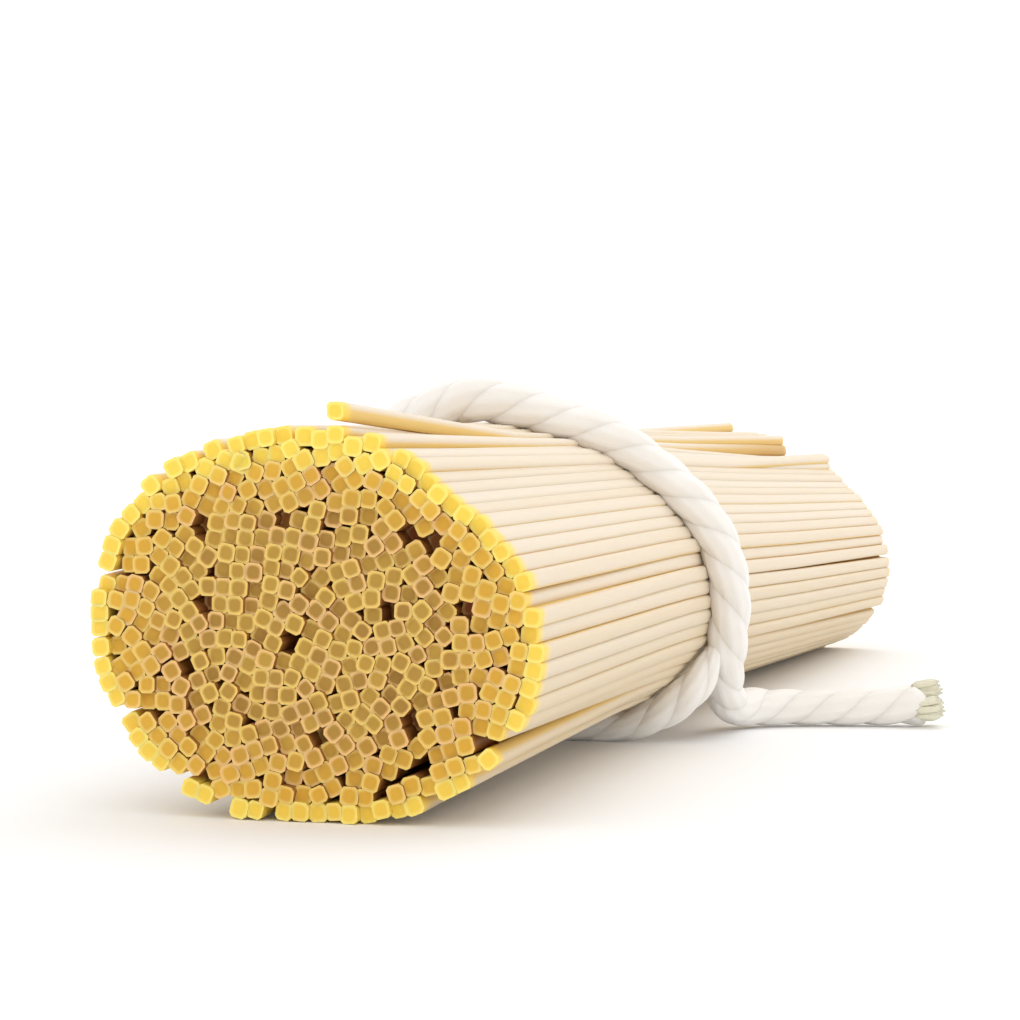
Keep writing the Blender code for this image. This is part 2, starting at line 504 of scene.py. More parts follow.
def select_edges_along(obj: bpy.types.Object, direction: Vector) -> None:
    """In edit mode, select the edges that run along the direction, and nothing else."""
    bpy.ops.mesh.select_all(action="DESELECT")
    bpy.ops.mesh.select_mode(type="EDGE")
    bm = bmesh.from_edit_mesh(obj.data)
    for edge in bm.edges:
        run = (edge.verts[1].co - edge.verts[0].co).normalized()
        edge.select_set(abs(run.dot(direction)) > 0.99)
    bmesh.update_edit_mesh(obj.data)


def new_piece(
    name: str, points: np.ndarray, faces: list, smooth_angle: float
) -> bpy.types.Object:
    """Make a mesh object whose place is in its mesh.

    Args:
        name: The piece's name.
        points: Its points in metres, one row each.
        faces: The numbers of each face's points.
        smooth_angle: Edges sharper than this, in radians, stay sharp.

    Returns:
        The object.
    """
    mesh = bpy.data.meshes.new(name)
    mesh.from_pydata(points.tolist(), [], faces)
    piece = bpy.data.objects.new(name, mesh)
    bpy.context.scene.collection.objects.link(piece)
    pick(piece)
    bpy.ops.object.shade_smooth_by_angle(angle=smooth_angle)
    deselect_all()
    return piece


def give_numbers(
    piece: bpy.types.Object, name: str, values: np.ndarray, domain: str = "POINT"
) -> None:
    """Store one number for each point or face of a piece."""
    layer = piece.data.attributes.new(name, "FLOAT", domain)
    layer.data.foreach_set("value", np.ascontiguousarray(values, np.float32).ravel())


# The bundle's form


@dataclass(frozen=True)
class Outline:
    """The bundle's cross-section before it is placed: an ellipse with one cut shoulder."""

    half_width: float = 26.6
    half_height: float = 21.75
    corner_fullness: float = 0.037
    shoulder_cut: float = 0.14
    shoulder_angle: float = math.radians(40)
    shoulder_spread: float = math.radians(24.5)

    def radius(self, angle: np.ndarray) -> np.ndarray:
        """Distance of the outline from the middle, in millimetres, at each angle."""
        ellipse = 1.0 / np.hypot(
            np.cos(angle) / self.half_width, np.sin(angle) / self.half_height
        )
        turn = (angle - self.shoulder_angle + math.pi) % math.tau - math.pi
        shoulder = self.shoulder_cut * np.exp(-((turn / self.shoulder_spread) ** 2))
        return ellipse * (1.0 + self.corner_fullness * np.sin(2 * angle) ** 2 - shoulder)

    def facing(self, x: np.ndarray, z: np.ndarray) -> np.ndarray:
        """Angle that the outline faces near a place."""
        return np.arctan2(z / self.half_height**2, x / self.half_width**2)

    def reach(self, x: np.ndarray, z: np.ndarray) -> np.ndarray:
        """Distance from the middle, as a share of the outline's."""
        return np.hypot(x, z) / self.radius(np.arctan2(z, x))


@dataclass(frozen=True)
class Form:
    """Where the cross-section goes along the bundle, in millimetres.

    The ends rest on the surface, and the rope lifts and squeezes the stretch between.
    Each row holds y, the middle's x and z, the width and height scales, the lean to one
    side, and the squeeze at the top.
    """

    sections: tuple = (
        (-124.3, 0.1, 21.6, 1.0, 1.0, 0.0, 0.0),
        (-104.0, 0.65, 22.4, 0.966, 0.985, -0.03, 0.034),
        (-60.0, 1.9, 24.5, 0.892, 0.954, -0.097, 0.111),
        (-34.0, 1.9, 24.5, 0.892, 0.954, -0.097, 0.111),
        (100.0, 0.4, 21.8, 0.942, 0.985, -0.13, 0.02),
        (124.3, 0.4, 21.7, 0.95, 1.0, -0.13, 0.0),
    )
    squeeze_angle: float = math.radians(82)
    squeeze_spread: float = math.radians(34)
    easing: float = 9.0

    def place(self, x: np.ndarray, y: np.ndarray, z: np.ndarray) -> tuple:
        """Place points of the cross-section at their y.

        Args:
            x: Place across the plain cross-section.
            y: Place along the bundle.
            z: Place up the plain cross-section.

        Returns:
            The placed x and z.
        """
        rows = np.array(self.sections)
        steps = (-self.easing, 0.0, self.easing)
        centre_x, centre_z, width, height, lean, squeeze = (
            sum(np.interp(y + step, rows[:, 0], rows[:, column]) for step in steps) / 3
            for column in range(1, 7)
        )
        turn = (np.arctan2(z, x) - self.squeeze_angle + math.pi) % math.tau - math.pi
        kept = 1.0 - squeeze * np.exp(-((turn / self.squeeze_spread) ** 2))
        return (
            centre_x + width * kept * x,
            centre_z + height * kept * z + lean * kept * x,
        )


class Gap(NamedTuple):
    """A straight opening between strands, from an inner point out, in millimetres."""

    inner_x: float
    inner_z: float
    outer_x: float
    outer_z: float
    inner_width: float
    outer_width: float


@dataclass
class Packing:
    """Round-cornered squares pushed about until they lie side by side inside an outline.

    Lengths are in millimetres. Squares press on each other's nearest faces, which also
    turns them, so that they settle in small rows with gaps between the rows.
    """

    outline: Outline
    count: int
    half: float
    corner: float
    seed: int
    looseness: float = 0.22
    size_spread: float = 0.035
    places: np.ndarray = field(init=False)
    angles: np.ndarray = field(init=False)
    sizes: np.ndarray = field(init=False)
    margins: np.ndarray = field(init=False)

    def __post_init__(self) -> None:
        """Lay the squares out loosely, at any angle."""
        rng = np.random.default_rng(self.seed)
        around = np.linspace(0.0, math.tau, 720, endpoint=False)
        area = float(np.mean(self.outline.radius(around) ** 2)) * math.pi
        step = math.sqrt(area / self.count * 2 / math.sqrt(3))
        rows = np.arange(-30, 31)
        column, row = (grid.ravel() for grid in np.meshgrid(rows, rows))
        lattice = np.stack([step * (column + 0.5 * (row % 2)), step * row * math.sqrt(0.75)], 1)
        tilt = 0.19
        turn = np.array(
            [[math.cos(tilt), -math.sin(tilt)], [math.sin(tilt), math.cos(tilt)]]
        )
        lattice = lattice @ turn.T
        inmost = np.argsort(self.outline.reach(lattice[:, 0], lattice[:, 1]))[: self.count]
        self.places = lattice[inmost] * 0.965 + rng.normal(0.0, 0.25, (self.count, 2))
        self.angles = rng.uniform(0.0, math.pi / 2, self.count)
        self.sizes = rng.normal(1.0, self.size_spread, self.count).clip(0.91, 1.07)
        uneven = rng.normal(0.0, self.looseness, self.count).clip(-0.4, 0.3)
        self.margins = self.half * 0.98 + uneven

    def extent(self, turn: np.ndarray, which: Union[slice, np.ndarray]) -> np.ndarray:
        """Half the width of squares across a direction that is turned from their faces."""
        core = self.half * self.sizes[which] - self.corner
        return core * (np.abs(np.cos(turn)) + np.abs(np.sin(turn))) + self.corner

    def settle(self, rounds: int, gaps: tuple = (), floor: Optional[float] = None) -> None:
        """Push the squares apart, in from the outline, out of the gaps and off the floor.

        Args:
            rounds: How many times everything is pushed.
            gaps: Openings that no square may lie in.
            floor: The lowest height that a square may reach, where there is a surface.
        """
        near = np.zeros((0, 2), int)
        for step in range(rounds):
            if step % 8 == 0:
                apart = np.linalg.norm(self.places[:, None] - self.places[None], axis=2)
                near = np.argwhere(np.triu(apart < 3.0 * self.half, 1))
            self._push_apart(near[:, 0], near[:, 1])
            self._push_inside()
            for gap in gaps:
                self._push_out_of(gap)
            if floor is not None:
                half_height = self.extent(math.pi / 2 - self.angles, slice(None))
                low = self.places[:, 1] - half_height
                self.places[:, 1] += np.clip(floor - low, 0.0, None) * 0.6

    def _push_apart(self, first: np.ndarray, second: np.ndarray) -> None:
        """Push and turn each pair of squares by how much they lie on each other."""
        core = self.half - self.corner
        between = self.places[second] - self.places[first]
        best = np.full(len(first), -9.0)
        normal = np.zeros((len(first), 2))
        turn_first = np.zeros(len(first))
        turn_second = np.zeros(len(first))
        for owner in (first, second):
            for quarter in (0.0, math.pi / 2):
                face = self.angles[owner] + quarter
                across = np.stack([np.cos(face), np.sin(face)], 1)
                distance = (between * across).sum(1)
                other = second if owner is first else first
                clear = (
                    np.abs(distance)
                    - self.extent(face - self.angles[first], first)
                    - self.extent(face - self.angles[second], second)
                )
                turn = face - self.angles[other]
                slope = core * (
                    np.sin(turn) * np.sign(np.cos(turn))
                    - np.cos(turn) * np.sign(np.sin(turn))
                )
                better = clear > best
                best = np.where(better, clear, best)
                outward = across * np.sign(distance)[:, None]
                normal = np.where(better[:, None], outward, normal)
                is_first = owner is first
                turn_second = np.where(better, slope if is_first else 0.0, turn_second)
                turn_first = np.where(better, 0.0 if is_first else slope, turn_first)
        overlap = np.clip(-best, 0.0, None)
        push = normal * overlap[:, None] * 0.25
        turned = np.zeros(len(self.angles))
        np.add.at(self.places, second, push)
        np.add.at(self.places, first, -push)
        np.add.at(turned, second, -turn_second * overlap * 0.35)
        np.add.at(turned, first, -turn_first * overlap * 0.35)
        self.angles += np.clip(turned, -0.1, 0.1)

    def _push_inside(self) -> None:
        """Push squares that stick out of the outline back in, and turn them to face out."""
        reach = np.linalg.norm(self.places, axis=1)
        around = np.arctan2(self.places[:, 1], self.places[:, 0])
        past = reach - self.outline.radius(around) + self.margins
        out = np.clip(past, 0.0, None)
        self.places -= self.places / np.maximum(reach, 1e-6)[:, None] * out[:, None] * 0.6
        facing = self.outline.facing(self.places[:, 0], self.places[:, 1]) - self.angles
        turn = (facing + math.pi / 4) % (math.pi / 2) - math.pi / 4
        self.angles += np.where(past > -self.half, 0.12 * turn, 0.0)

    def _push_out_of(self, gap: Gap) -> None:
        """Push squares out of a gap."""
        inner = np.array([gap.inner_x, gap.inner_z])
        run = np.array([gap.outer_x, gap.outer_z]) - inner
        share = np.clip((self.places - inner) @ run / (run @ run), 0.0, 1.0)
        away = self.places - inner - share[:, None] * run
        distance = np.maximum(np.linalg.norm(away, axis=1), 1e-6)
        normal = away / distance[:, None]
        facing = np.arctan2(normal[:, 1], normal[:, 0]) - self.angles
        width = gap.inner_width + (gap.outer_width - gap.inner_width) * share
        lack = np.clip(self.extent(facing, slice(None)) + width / 2 - distance, 0.0, None)
        self.places += normal * lack[:, None] * 0.5


class End(Enum):
    """The two cut ends of the bundle, by the way that they face along Y."""

    NEAR = -1
    FAR = 1


class Pit(NamedTuple):
    """A strand that ends short of its neighbours, at a place on a cut face."""

    x: float
    z: float
    depth: float
    # How much painted reddish-brown shade the pit gets.
    pit_shade: float


class Sprung(NamedTuple):
    """A top strand whose end stands clear: its x, its lift and where the lift begins."""

    end: End
    x: float
    lift: float
    from_y: float


@dataclass
class StrandBundle:
    """The strands, and the deep shade between them. Lengths are in millimetres."""

    outline: Outline = field(default_factory=Outline)
    form: Form = field(default_factory=Form)
    count: int = 478
    half_side: float = 0.94
    corner: float = 0.35
    rim_width: float = 0.4
    touching: float = 1.08
    half_length: float = 127.45
    ring_places: tuple = (-66.0, -52.0, -36.0, 30.0)
    tie_y: float = -47.0
    packing_rounds: int = 420
    near_gaps: tuple = (
        Gap(7.2, -18.4, 13.0, -14.4, 0.3, 0.75),
        Gap(-19.5, 5.3, -27.5, 5.2, 0.1, 0.8),
        Gap(-23.2, -1.8, -27.5, -1.9, 0.1, 0.5),
        Gap(-17.0, -9.9, -24.0, -10.1, 0.1, 0.7),
        Gap(-12.5, -17.1, -18.5, -17.4, 0.2, 0.7),
        Gap(18.5, -13.4, 24.0, -11.0, 0.1, 0.5),
    )
    far_gaps: tuple = (
        Gap(21.5, 0.3, 27.5, 0.5, 0.0, 0.6),
        Gap(19.5, -9.8, 26.5, -10.0, 0.0, 0.7),
        Gap(6.5, 20.7, 11.0, 20.9, 6.0, 6.0),
        Gap(-19.0, 8.0, -27.0, 9.0, 0.2, 0.9),
        Gap(-6.0, -16.0, -8.0, -22.5, 0.2, 0.8),
    )
    pits: tuple = (
        Pit(-2.4, -2.1, 16.0, 0.0),
        Pit(-13.9, 10.7, 2.6, 0.75),
        Pit(10.7, 9.0, 3.4, 1.0),
        Pit(13.2, 8.8, 3.2, 0.8),
        Pit(8.4, 2.5, 3.4, 0.8),
        Pit(18.6, 1.6, 2.6, 1.0),
        Pit(-13.0, 1.8, 2.2, 0.6),
        Pit(-15.6, -5.4, 3.6, 0.6),
        Pit(11.3, -11.0, 2.8, 0.9),
        Pit(1.5, -12.6, 1.8, 0.3),
        Pit(-3.2, 12.6, 2.0, 0.5),
    )
    sprung: tuple = (
        Sprung(End.NEAR, 2.6, 2.6, -64.0),
        Sprung(End.FAR, -8.5, 2.4, 50.0),
        Sprung(End.FAR, 13.5, 1.5, 60.0),
    )
    core_share: float = 0.8
    core_half_length: float = 111.0

    def build(self) -> list[bpy.types.Object]:
        """Make the strands and the shade between them, dressed and placed."""
        master = self._model_strand()
        strands = self._lay_strands(master)
        bpy.data.objects.remove(master)
        strands.data.materials.append(PastaFinish().build())
        core = self._model_core()
        core.data.materials.append(ShadeFinish().build())
        for piece in (strands, core):
            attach(piece, "root")
            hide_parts("spaghetti_bundle")
        return [strands, core]

    def _model_strand(self) -> bpy.types.Object:
        """Model one strand along Y: a bar with soft edges, rings to bend at and inset ends."""
        deselect_all()
        bpy.ops.mesh.primitive_cube_add(size=1.0)
        strand = bpy.context.object
        bpy.ops.object.mode_set(mode="EDIT")
        bpy.ops.transform.resize(
            value=(2 * self.half_side, 2 * self.half_length, 2 * self.half_side)
        )
        along = Vector((0.0, 1.0, 0.0))
        select_edges_along(strand, along)
        bpy.ops.mesh.bevel(offset=self.corner, segments=1, affect="EDGES")
        for y in self.ring_places:
            bpy.ops.mesh.select_all(action="SELECT")
            bpy.ops.mesh.bisect(plane_co=(0.0, y, 0.0), plane_no=along)
        for end in End:
            select_faces_facing(strand, along * end.value)
            bpy.ops.mesh.inset(thickness=self.rim_width, depth=-0.07)
        bpy.ops.object.mode_set(mode="OBJECT")
        return strand

    def _pack(self) -> tuple[np.ndarray, np.ndarray, np.ndarray]:
        """Pack the near end, then let it settle into the tie and the far end.

        Returns:
            Every strand's place and angle at the three, and its size.
        """
        packing = Packing(self.outline, self.count, self.half_side, self.corner, seed=5)
        packing.settle(self.packing_rounds, self.near_gaps, floor=-21.6)
        places, angles = [packing.places.copy()], [packing.angles.copy()]
        for half, gaps, floor in (
            (self.half_side * 1.035, (), None),
            (self.half_side * 1.01, self.far_gaps, -21.5),
        ):
            packing.half = half
            packing.settle(self.packing_rounds // 3, gaps, floor)
            places.append(packing.places.copy())
            angles.append(packing.angles.copy())
        return self._fill_under_sprung(np.array(places), np.array(angles), packing.sizes)

    def _fill_under_sprung(
        self, places: np.ndarray, angles: np.ndarray, sizes: np.ndarray
    ) -> tuple[np.ndarray, np.ndarray, np.ndarray]:
        """Add the strands that lie under the sprung ones, where those would leave a hole.

        Args:
            places: Every strand's place at the three stations.
            angles: Every strand's angle there.
            sizes: Every strand's size.

        Returns:
            The same with the added strands at the end.
        """
        for sprung in self.sprung:
            strand = self._topmost(places, sprung)
            added = places[:, strand].copy()
            station = 0 if sprung.end is End.NEAR else 2
            inward = added / np.linalg.norm(added, axis=1, keepdims=True) * 2 * self.half_side
            inward[station] = 0.0
            places = np.concatenate([places, (added - inward)[:, None]], 1)
            angles = np.concatenate([angles, angles[:, strand : strand + 1]], 1)
            sizes = np.append(sizes, sizes[strand])
        return places, angles, sizes

    def _topmost(self, places: np.ndarray, sprung: Sprung) -> int:
        """Number of the first strand that lies highest at the sprung strand's x."""
        x, z = places[0 if sprung.end is End.NEAR else 2].T
        return int(np.argmax(np.where(np.abs(x - sprung.x) < 1.6, z, -99.0)))

    def _lay_strands(self, master: bpy.types.Object) -> bpy.types.Object:
        """Copy the strand to every place in the packing, bent to the bundle's form.

        Args:
            master: The strand that is copied.

        Returns:
            All the strands as one piece.
        """
        places, angles, sizes = self._pack()
        rng = np.random.default_rng(17)
        count = len(sizes)
        own = np.array([vert.co for vert in master.data.vertices])
        at_near = own[:, 1] < -self.half_length + 1.0
        at_far = own[:, 1] > self.half_length - 1.0
        near_setback, far_setback, pit_shade = self._ends(places, rng)

        share = (own[:, 1] + self.half_length) / (2 * self.half_length)
        y = own[None, :, 1] + np.where(at_near, near_setback[:, None], 0.0)
        y = y - np.where(at_far, far_setback[:, None], 0.0)
        deep = near_setback[:, None] > 3.0 * (1.0 - share[None]) * self.half_length
        y = np.where(deep & ~at_near, np.maximum(y, y.min(1, keepdims=True) + 2.0), y)

        size = self.touching * sizes[:, None]
        stations = np.array([-self.half_length, self.tie_y, self.half_length])
        angle = self._between(y, stations, angles)
        across = size * (own[None, :, 0] * np.cos(angle) - own[None, :, 2] * np.sin(angle))
        up = size * (own[None, :, 0] * np.sin(angle) + own[None, :, 2] * np.cos(angle))
        tilt = rng.normal(0.0, 0.07, (count, 2))
        slope = across * tilt[:, :1] + up * tilt[:, 1:]
        y = y + np.where(at_near, np.maximum(slope, -near_setback[:, None]), 0.0)
        y = y + np.where(at_far, np.minimum(slope, far_setback[:, None]), 0.0)

        plain_x = self._between(y, stations, places[..., 0])
        plain_z = self._between(y, stations, places[..., 1])
        centre_x, centre_z = self.form.place(plain_x, y, plain_z)
        centre_z = centre_z + self._lifts(places, y)
        points = np.stack([centre_x + across, y, centre_z + up], 2)
        points[..., 2] = np.maximum(points[..., 2], 0.02)

        faces = [tuple(polygon.vertices) for polygon in master.data.polygons]
        per_strand = len(own)
        every_face = [
            tuple(corner + number * per_strand for corner in face)
            for number in range(count)
            for face in faces
        ]
        strands = new_piece(
            "spaghetti_strands",
            points.reshape(-1, 3) * MM,
            every_face,
            smooth_angle=math.radians(50),
        )
        self._mark(strands, master, own, (plain_x + across, plain_z + up), places, pit_shade)
        return strands

    @staticmethod
    def _between(y: np.ndarray, stations: np.ndarray, values: np.ndarray) -> np.ndarray:
        """Read each strand's value at y between its values at the stations.

        Args:
            y: Places along the bundle, a row for each strand.
            stations: The y of the near end, the tie and the far end.
            values: A row of every strand's values for each station.

        Returns:
            The values, shaped as y.
        """
        near, tie, far = (row[:, None] for row in values)
        to_tie = np.clip((y - stations[0]) / (stations[1] - stations[0]), 0.0, 1.0)
        to_far = np.clip((y - stations[1]) / (stations[2] - stations[1]), 0.0, 1.0)
        return near + (tie - near) * to_tie + (far - tie) * to_far

    def _ends(self, places: np.ndarray, rng: np.random.Generator) -> tuple:
        """Say how far each strand's ends lie behind the foremost ones.

        Args:
            places: Every strand's place at the three stations.
            rng: The source of the uneven lengths.

        Returns:
            The setbacks at the near and the far end, and how much painted reddish-brown shade each
            near end gets in its pit.
        """
        near_x, near_z = places[0].T
        wave = np.sin(near_x / 9.0) * np.cos(near_z / 11.0 + 0.8)
        near = 0.15 + 0.45 * (1.0 + wave) + 0.9 * rng.random(len(near_x)) ** 2
        # Shares of the painted pit shade, on the near ends set back in pits.
        pit_shade = np.zeros(len(near_x))
        for pit in self.pits:
            nearest = np.argmin(np.hypot(near_x - pit.x, near_z - pit.z))
            near[nearest] += pit.depth
            pit_shade[nearest] = pit.pit_shade
        far_x, far_z = places[2].T
        wave = np.sin(far_z / 4.3 + 0.5) * np.cos(far_x / 8.0)
        far = 0.15 + 0.7 * (1.0 + wave) + 2.0 * rng.random(len(near_x)) ** 3
        return near, far, pit_shade

    def _lifts(self, places: np.ndarray, y: np.ndarray) -> np.ndarray:
        """Say how far each point is raised because its strand has sprung up."""
        lifts = np.zeros_like(y)
        for sprung in self.sprung:
            strand = self._topmost(places, sprung)
            end_y = sprung.end.value * self.half_length
            share = (y[strand] - sprung.from_y) / (end_y - sprung.from_y)
            lifts[strand] = sprung.lift * np.clip(share, 0.0, None)
        return lifts

    def _mark(
        self,
        strands: bpy.types.Object,
        master: bpy.types.Object,
        own: np.ndarray,
        plain: tuple,
        places: np.ndarray,
        pit_shade: np.ndarray,
    ) -> None:
        """Store on the mesh what its finish needs to know.

        Args:
            strands: The piece.
            master: The strand that was copied.
            own: The points of one strand.
            plain: Every point's x and z in the plain cross-section.
            places: Every strand's place at the three stations.
            pit_shade: How much painted reddish-brown shade each near end gets in its pit.
        """
        rng = np.random.default_rng(23)
        per_strand = len(own)
        count = places.shape[1]
        tone = np.repeat(rng.random(count), per_strand)
        give_numbers(strands, "tone", tone)
        # How near each strand lies to the outline, which sets the painted glow of its cut ends.
        near, far = (self.outline.reach(*places[station].T)[:, None] for station in (0, 2))
        edge = np.where(own[None, :, 1] < 0, near, far)
        give_numbers(strands, "edge", edge)
        in_front = own[None, :, 1] < 0
        give_numbers(strands, "pit_shade", np.where(in_front, pit_shade[:, None], 0.0))
        give_numbers(strands, "own_x", np.tile(own[:, 0], count))
        give_numbers(strands, "own_z", np.tile(own[:, 2], count))
        depth = self.outline.radius(np.arctan2(plain[1], plain[0])) - np.hypot(*plain)
        # How far each point lies in from its strand's outermost point at its ring, which sets the
        # painted shade in the grooves.
        groove_shade = np.empty_like(depth)
        for ring_y in np.unique(own[:, 1]):
            ring = own[:, 1] == ring_y
            groove_shade[:, ring] = depth[:, ring] - depth[:, ring].min(1, keepdims=True)
        give_numbers(strands, "groove_shade", groove_shade)
        sunk = np.array([self._sunk(station) for station in places])
        stations = np.array([-self.half_length, self.tie_y, self.half_length])
        y = np.broadcast_to(own[None, :, 1], depth.shape)
        give_numbers(strands, "sunk", self._between(y, stations, sunk))
        cut = [abs(polygon.normal.y) > 0.6 for polygon in master.data.polygons]
        give_numbers(strands, "cut", np.tile(np.array(cut, float), count), "FACE")

    def _sunk(self, places: np.ndarray) -> np.ndarray:
        """Say how far each strand lies behind the ones beside it, seen from outside, which sets its
        painted shade.

        Args:
            places: Every strand's place at one station.

        Returns:
            Millimetres for each strand, and 2 where another strand lies over it.
        """
        facing = self.outline.facing(places[:, 0], places[:, 1])
        outward = np.stack([np.cos(facing), np.sin(facing)], 1)
        apart = places[None] - places[:, None]
        ahead = (apart * outward[:, None]).sum(2)
        aside = np.abs(apart[..., 0] * outward[:, None, 1] - apart[..., 1] * outward[:, None, 0])
        covered = ((ahead > 1.1) & (aside < 1.0)).any(1)
        beside = (aside > 1.0) & (aside < 2.6) & (np.abs(ahead) < 1.7)
        behind = (np.clip(ahead, 0.0, None) * beside).sum(1) / np.maximum(beside.sum(1), 1)
        return np.where(covered, 2.0, behind)

    def _model_core(self) -> bpy.types.Object:
        """Model the shade between the strands: a dark body drawn through the sections."""
        deselect_all()
        bpy.ops.mesh.primitive_cylinder_add(vertices=40, radius=1.0, depth=2.0)
        core = bpy.context.object
        core.name = "pasta_shade"
        core.data.name = "pasta_shade"
        bpy.ops.object.mode_set(mode="EDIT")
        for height in (-0.9, -0.55, -0.3, 0.3):
            bpy.ops.mesh.select_all(action="SELECT")
            bpy.ops.mesh.bisect(plane_co=(0.0, 0.0, height), plane_no=(0.0, 0.0, 1.0))
        select_faces_facing(core, Vector((0.0, 0.0, 1.0)))
        bpy.ops.mesh.inset(thickness=0.3, depth=-0.02)
        select_faces_facing(core, Vector((0.0, 0.0, -1.0)))
        bpy.ops.mesh.inset(thickness=0.3, depth=-0.02)
        bpy.ops.object.mode_set(mode="OBJECT")
        own = np.array([vert.co for vert in core.data.vertices])
        radius = self.outline.radius(np.arctan2(own[:, 1], -own[:, 0])) * self.core_share
        y = own[:, 2] * self.core_half_length
        x, z = self.form.place(-own[:, 0] * radius, y, own[:, 1] * radius)
        points = np.stack([x, y, z], 1) * MM
        core.data.vertices.foreach_set("co", points.astype(np.float32).ravel())
        pick(core)
        bpy.ops.object.mode_set(mode="EDIT")
        bpy.ops.mesh.select_all(action="SELECT")
        bpy.ops.mesh.normals_make_consistent(inside=False)
        bpy.ops.object.mode_set(mode="OBJECT")
        deselect_all()
        return core


# The rope


@dataclass
class TieRope:
    """Three plies of soft cotton laid round each other. Lengths are in metres.

    Each row of the route holds x, y, z and the rope's radius there: from the end tucked
    up against the bundle's right side, under the bundle, up its left side, over the top,
    down the right side and out along the surface.
    """

    route: tuple = (
        (0.0262, -0.0412, 0.0138, 0.0007),
        (0.0261, -0.0439, 0.0112, 0.0017),
        (0.0243, -0.0450, 0.0079, 0.0025),
        (0.0202, -0.0444, 0.0048, 0.0026),
        (0.0143, -0.0440, 0.0023, 0.0022),
        (0.0053, -0.0446, 0.0019, 0.0019),
        (-0.0045, -0.0460, 0.0026, 0.0022),
        (-0.0125, -0.0476, 0.0054, 0.0027),
        (-0.0191, -0.0494, 0.0113, 0.00285),
        (-0.0231, -0.0510, 0.0186, 0.00285),
        (-0.0245, -0.0522, 0.0256, 0.00285),
        (-0.0240, -0.0530, 0.0320, 0.00285),
        (-0.0218, -0.0530, 0.0380, 0.00285),
        (-0.0179, -0.0524, 0.0430, 0.0029),
        (-0.0128, -0.0514, 0.0459, 0.003),
        (-0.0063, -0.0500, 0.0478, 0.0033),
        (0.0006, -0.0482, 0.0467, 0.0032),
        (0.0072, -0.0464, 0.0446, 0.00305),
        (0.0136, -0.0446, 0.0417, 0.003),
        (0.0193, -0.0429, 0.0374, 0.00295),
        (0.0239, -0.0414, 0.0327, 0.00295),
        (0.0269, -0.0402, 0.0273, 0.00295),
        (0.0281, -0.0392, 0.0205, 0.00295),
        (0.0273, -0.0374, 0.0135, 0.00295),
        (0.0260, -0.0333, 0.0076, 0.0029),
        (0.0257, -0.0270, 0.0040, 0.00285),
        (0.0282, -0.0212, 0.0031, 0.0028),
        (0.0340, -0.0175, 0.0028, 0.00265),
        (0.0413, -0.0152, 0.0028, 0.0027),
        (0.0476, -0.0138, 0.0031, 0.00285),
        (0.0535, -0.0124, 0.0038, 0.0031),
    )
    diameter: float = 0.0057
    tuck_shift: tuple = (-0.0008, 0.0041, 0.0)
    tuck_length: float = 0.017
    plies: int = 3
    step: float = 0.0006
    lay_length: float = 0.0165
    ply_offset: float = 0.24
    ply_sides: int = 20
    fray_length: float = 0.006
    fray_opening: float = 0.3
    fray_steps: int = 3
    yarns_per_ply: int = 20

    def build(self) -> list[bpy.types.Object]:
        """Make the rope and its frayed end, dressed and placed."""
        points, radii = self._centre_line()
        rope = self._lay_plies(points, radii)
        fray = self._fray(points, radii)
        rope.data.materials.append(CottonFinish().build())
        # The frayed end gets yellower, olive cotton tones, darkened by painted shade among its
        # yarns.
        fray.data.materials.append(
            CottonFinish(
                name="cotton_cut_end",
                fibre=screen_colour(246, 243, 224),
                valley_shade=screen_colour(214, 205, 166),
                shade=screen_colour(236, 231, 206),
            ).build()
        )
        for piece in (rope, fray):
            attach(piece, "root")
        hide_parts("tie_rope")
        [tuple(point) for point in points[::4]] + [tuple(points[-1])]
        return [rope, fray]

    def _centre_line(self) -> tuple[np.ndarray, np.ndarray]:
        """Read points a step apart from a smooth curve through the route.

        Returns:
            The points, and the rope's radius at each.
        """
        knots = np.array(self.route)
        padded = np.vstack([2 * knots[0] - knots[1], knots, 2 * knots[-1] - knots[-2]])
        fine = []
        for before, start, end, after in zip(padded, padded[1:], padded[2:], padded[3:]):
            for share in np.linspace(0.0, 1.0, 24, endpoint=False):
                fine.append(
                    0.5
                    * (
                        2 * start
                        + share * (end - before)
                        + share**2 * (2 * before - 5 * start + 4 * end - after)
                        + share**3 * (3 * start - before - 3 * end + after)
                    )
                )
        fine = np.array(fine + [knots[-1]])
        along = np.concatenate(
            [[0.0], np.cumsum(np.linalg.norm(np.diff(fine[:, :3], axis=0), axis=1))]
        )
        places = np.linspace(0.0, along[-1], round(along[-1] / self.step) + 1)
        even = np.stack([np.interp(places, along, fine[:, column]) for column in range(4)], 1)
        tuck = np.clip(1.0 - places / self.tuck_length, 0.0, 1.0)
        tuck = (tuck**2 * (3.0 - 2.0 * tuck))[:, None]
        return even[:, :3] + tuck * np.array(self.tuck_shift), even[:, 3]

    @staticmethod
    def _carry_frame(points: np.ndarray) -> tuple[np.ndarray, np.ndarray, np.ndarray]:
        """Carry a frame along a line of points without letting it spin.

        Args:
            points: The line.

        Returns:
            The line's direction and two directions across it, at every point.
        """
        ahead = np.gradient(points, axis=0)
        ahead /= np.linalg.norm(ahead, axis=1, keepdims=True)
        side = np.zeros_like(points)
        start = np.cross(ahead[0], (0.0, 1.0, 0.0))
        side[0] = start / np.linalg.norm(start)
        for number in range(1, len(points)):
            kept = side[number - 1] - ahead[number] * (side[number - 1] @ ahead[number])
            side[number] = kept / np.linalg.norm(kept)
        return ahead, side, np.cross(ahead, side)

